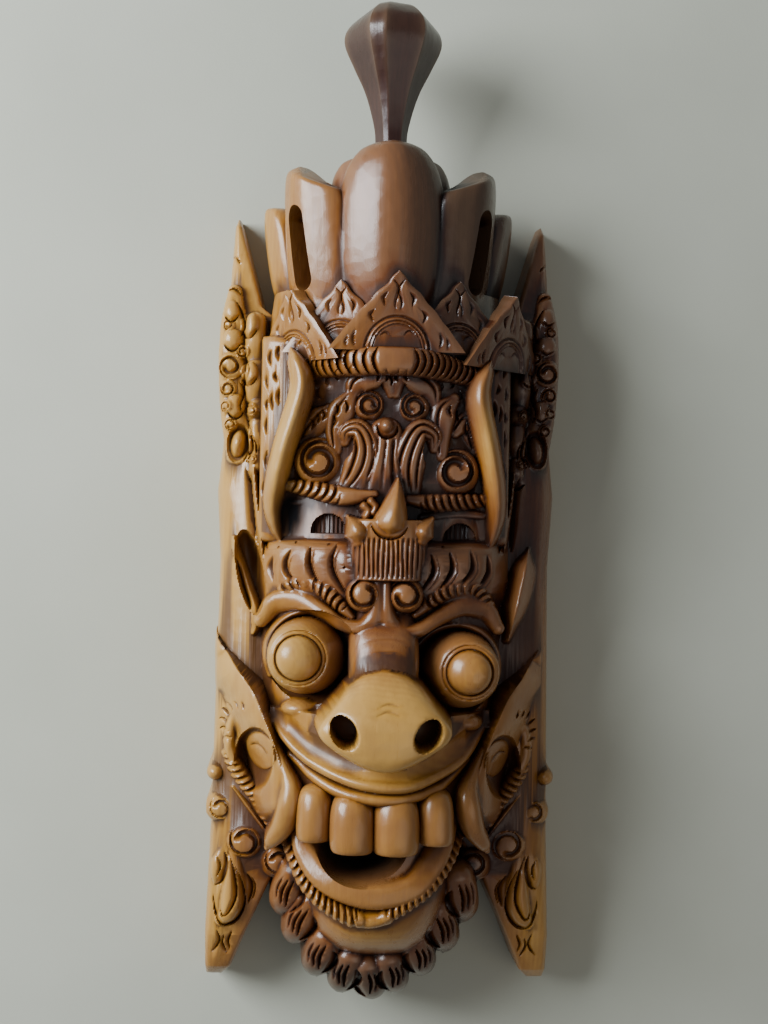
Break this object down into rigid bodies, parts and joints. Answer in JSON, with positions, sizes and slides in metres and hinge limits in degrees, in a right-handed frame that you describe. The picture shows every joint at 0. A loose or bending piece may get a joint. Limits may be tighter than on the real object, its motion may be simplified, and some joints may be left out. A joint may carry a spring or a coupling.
{
  "type": "barong mask",
  "caption": "Carved wooden barong mask with round eyes, a broad snout, bared teeth, a lobed crown with a flared finial and a hollow back.",
  "frame": {"origin": "under the middle of the mask's outline, on the flat plane that the hollow back lies on", "axes": "+Y up the face from the beard to the crown, +Z out of the face, +X to the right as the face is looked at"},
  "size_m": [0.1984, 0.567, 0.15],
  "materials": {
    "wood": "waxed, satin",
    "dark_wood": "waxed, satin"
  },
  "bodies": {
    "root": {"mask": "wood", "finial": "dark_wood"}
  },
  "joints": []
}
